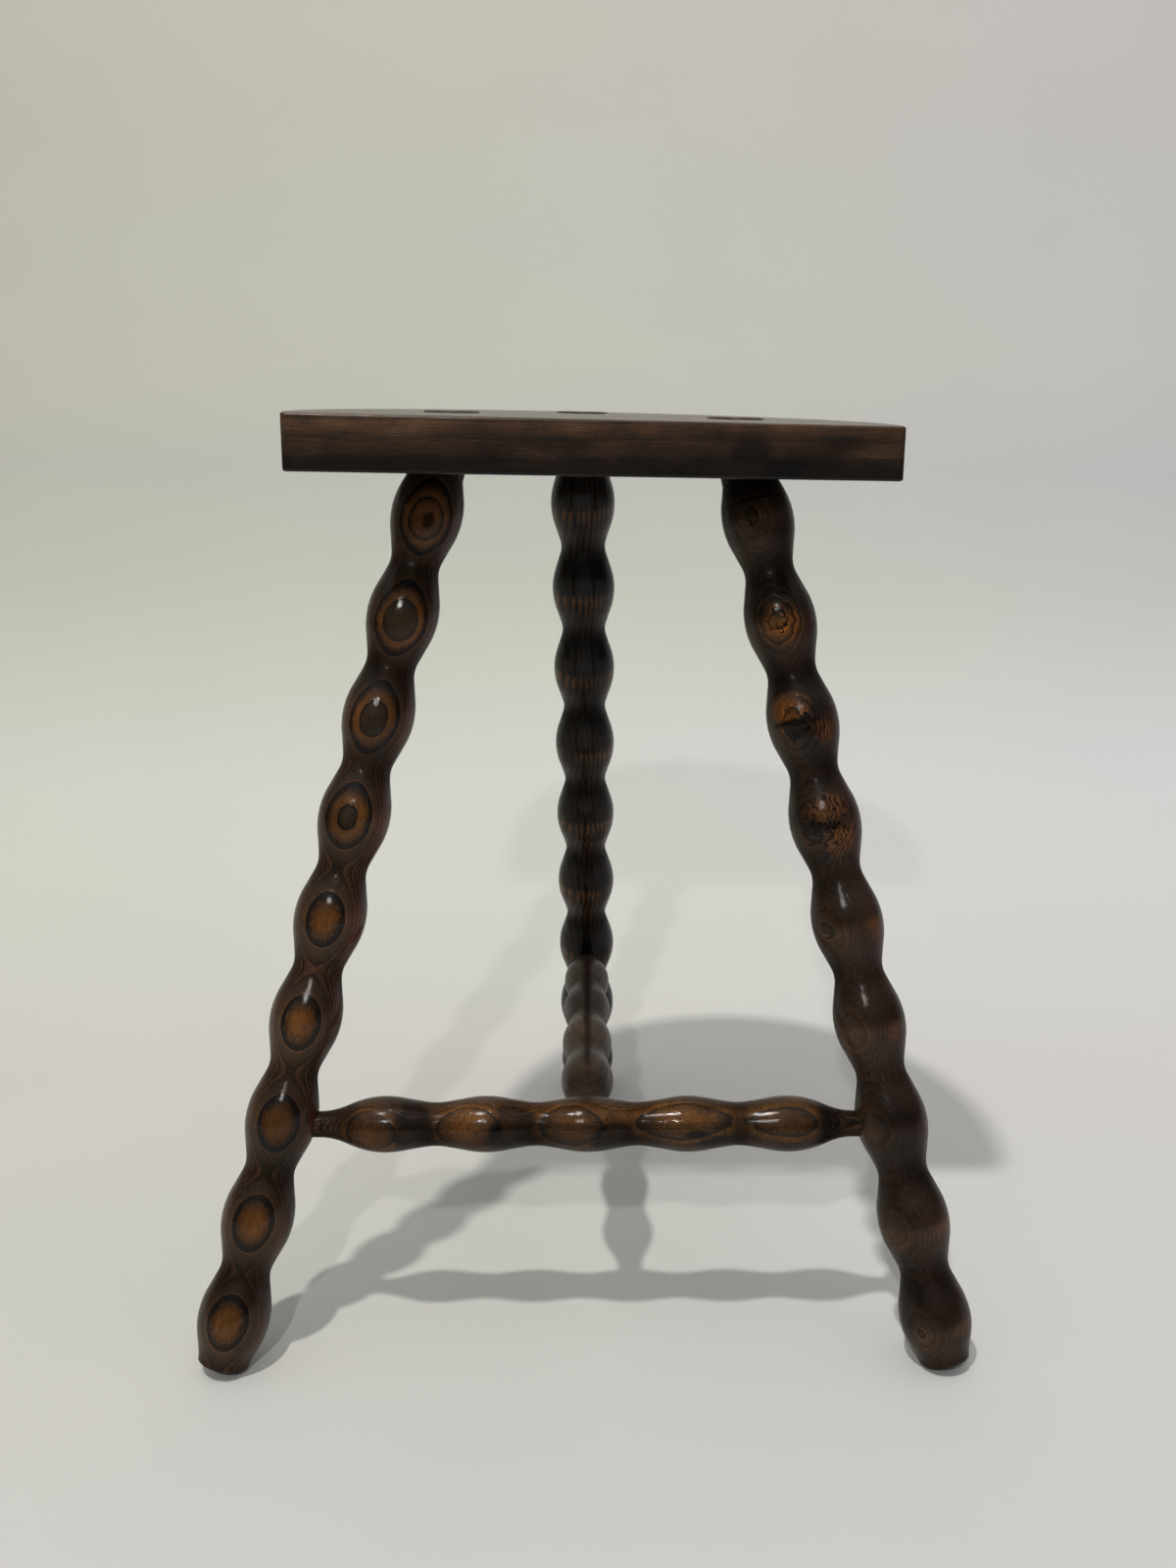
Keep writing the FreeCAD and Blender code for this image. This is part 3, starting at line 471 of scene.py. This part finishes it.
front_marks = [
    ((0, -14, -102), (30, 8, 160), 0.5, 0.45), ((10, 0, -15), (18, 20, 12), 0.3, 0.2),
    ((10, 0, -65), (18, 20, 13.5), 0.3, 0.25), ((12, 3, -56), (8, 5, 5), 0.6, 0.15),
    ((12, -3, -115), (18, 13, 12), 0.3, 0.22), ((12, 1, -157), (8, 3, 8), 0.5, 0.12),
    ((12, -4, -166), (10, 5, 12), 0.5, 0.14), ((12, -8, -206), (10, 5, 12), 0.5, 0.35),
    ((8, 0, -179), (12, 18, 6), 0.5, 0.5), ((8, 0, -224), (14, 18, 11), 0.6, 0.25),
    ((12, -3, 9), (14, 12, 18), 0.4, (1.4, 1.2, 0.9)), ((12, -2, -36), (14, 12, 17), 0.4, (1.3, 1.15, 0.9)),
    ((12, 1, -205), (10, 9, 12), 0.6, (1.8, 1.6, 1.1)), ((10, 10, -102), (14, 5, 130), 0.5, (2.0, 1.7, 1.0)),
]
dress("stretcher_front", stained_wood(
    "front_stretcher_stain", *first_bead_frame(*front_ends, front_bead_distance, (0, 0, 1)),
    pith=front_pith, run=4 * stretcher_pitch, crest=67.0,
    edges=[0, 5.4, 8.0, 9.2] + even_years(10.4, 1.2, 18), tones=[(0, amber_tones), (2, flank_tones)],
    ragged=1.6, wander=1.6, bobbins=(stretcher_pitch, -0.5, front_leans),
    figure=[((10, 0, -102), (50, 50, 170), 1.0, 0)],
    blotch=(0.42, 1.35), cove=(stretcher_dip, stretcher_bead, 0.5), checks=0.8, marks=front_marks, lathe=0.25,
    gloss=0.5, gloss_roughness=0.06))
satin_tones = [(0.0, (0.028, 0.016, 0.010)), (0.5, (0.040, 0.024, 0.015)), (1.0, (0.030, 0.018, 0.011))]
dress("stretcher_rear", stained_wood(
    "rear_stretcher_stain", *first_bead_frame(*rear_ends, rear_bead_distance, (0, 0, 1)),
    pith=[(0, -50), (0, -50)], run=3 * stretcher_pitch, crest=66.5, edges=even_years(0, 2.6, 20),
    tones=[(0, satin_tones)], ragged=0.5, wander=1.0, cove=(stretcher_dip, stretcher_bead, 0.8),
    marks=[((0.5, 14, -75), (3.2, 8, 130), 0.6, (0.35, 0.25, 0.22))], lathe=0.6, gloss=0.3))


# The wedges: slips split straight along the grain of the same stained wood. Each is driven from
# above into a saw kerf across a tenon and trimmed flush with it.
for end in ("front_left", "front_right", "rear"):
    dress("wedge_" + end, stained_wood(
        "wedge_stain_" + end, *leg_frame("leg_" + end), pith=[(0, 80), (0, 80)], run=leg_run, crest=90,
        edges=even_years(0, 1.5, 30), tones=seat_tones, ragged=0.2, wander=1.0))
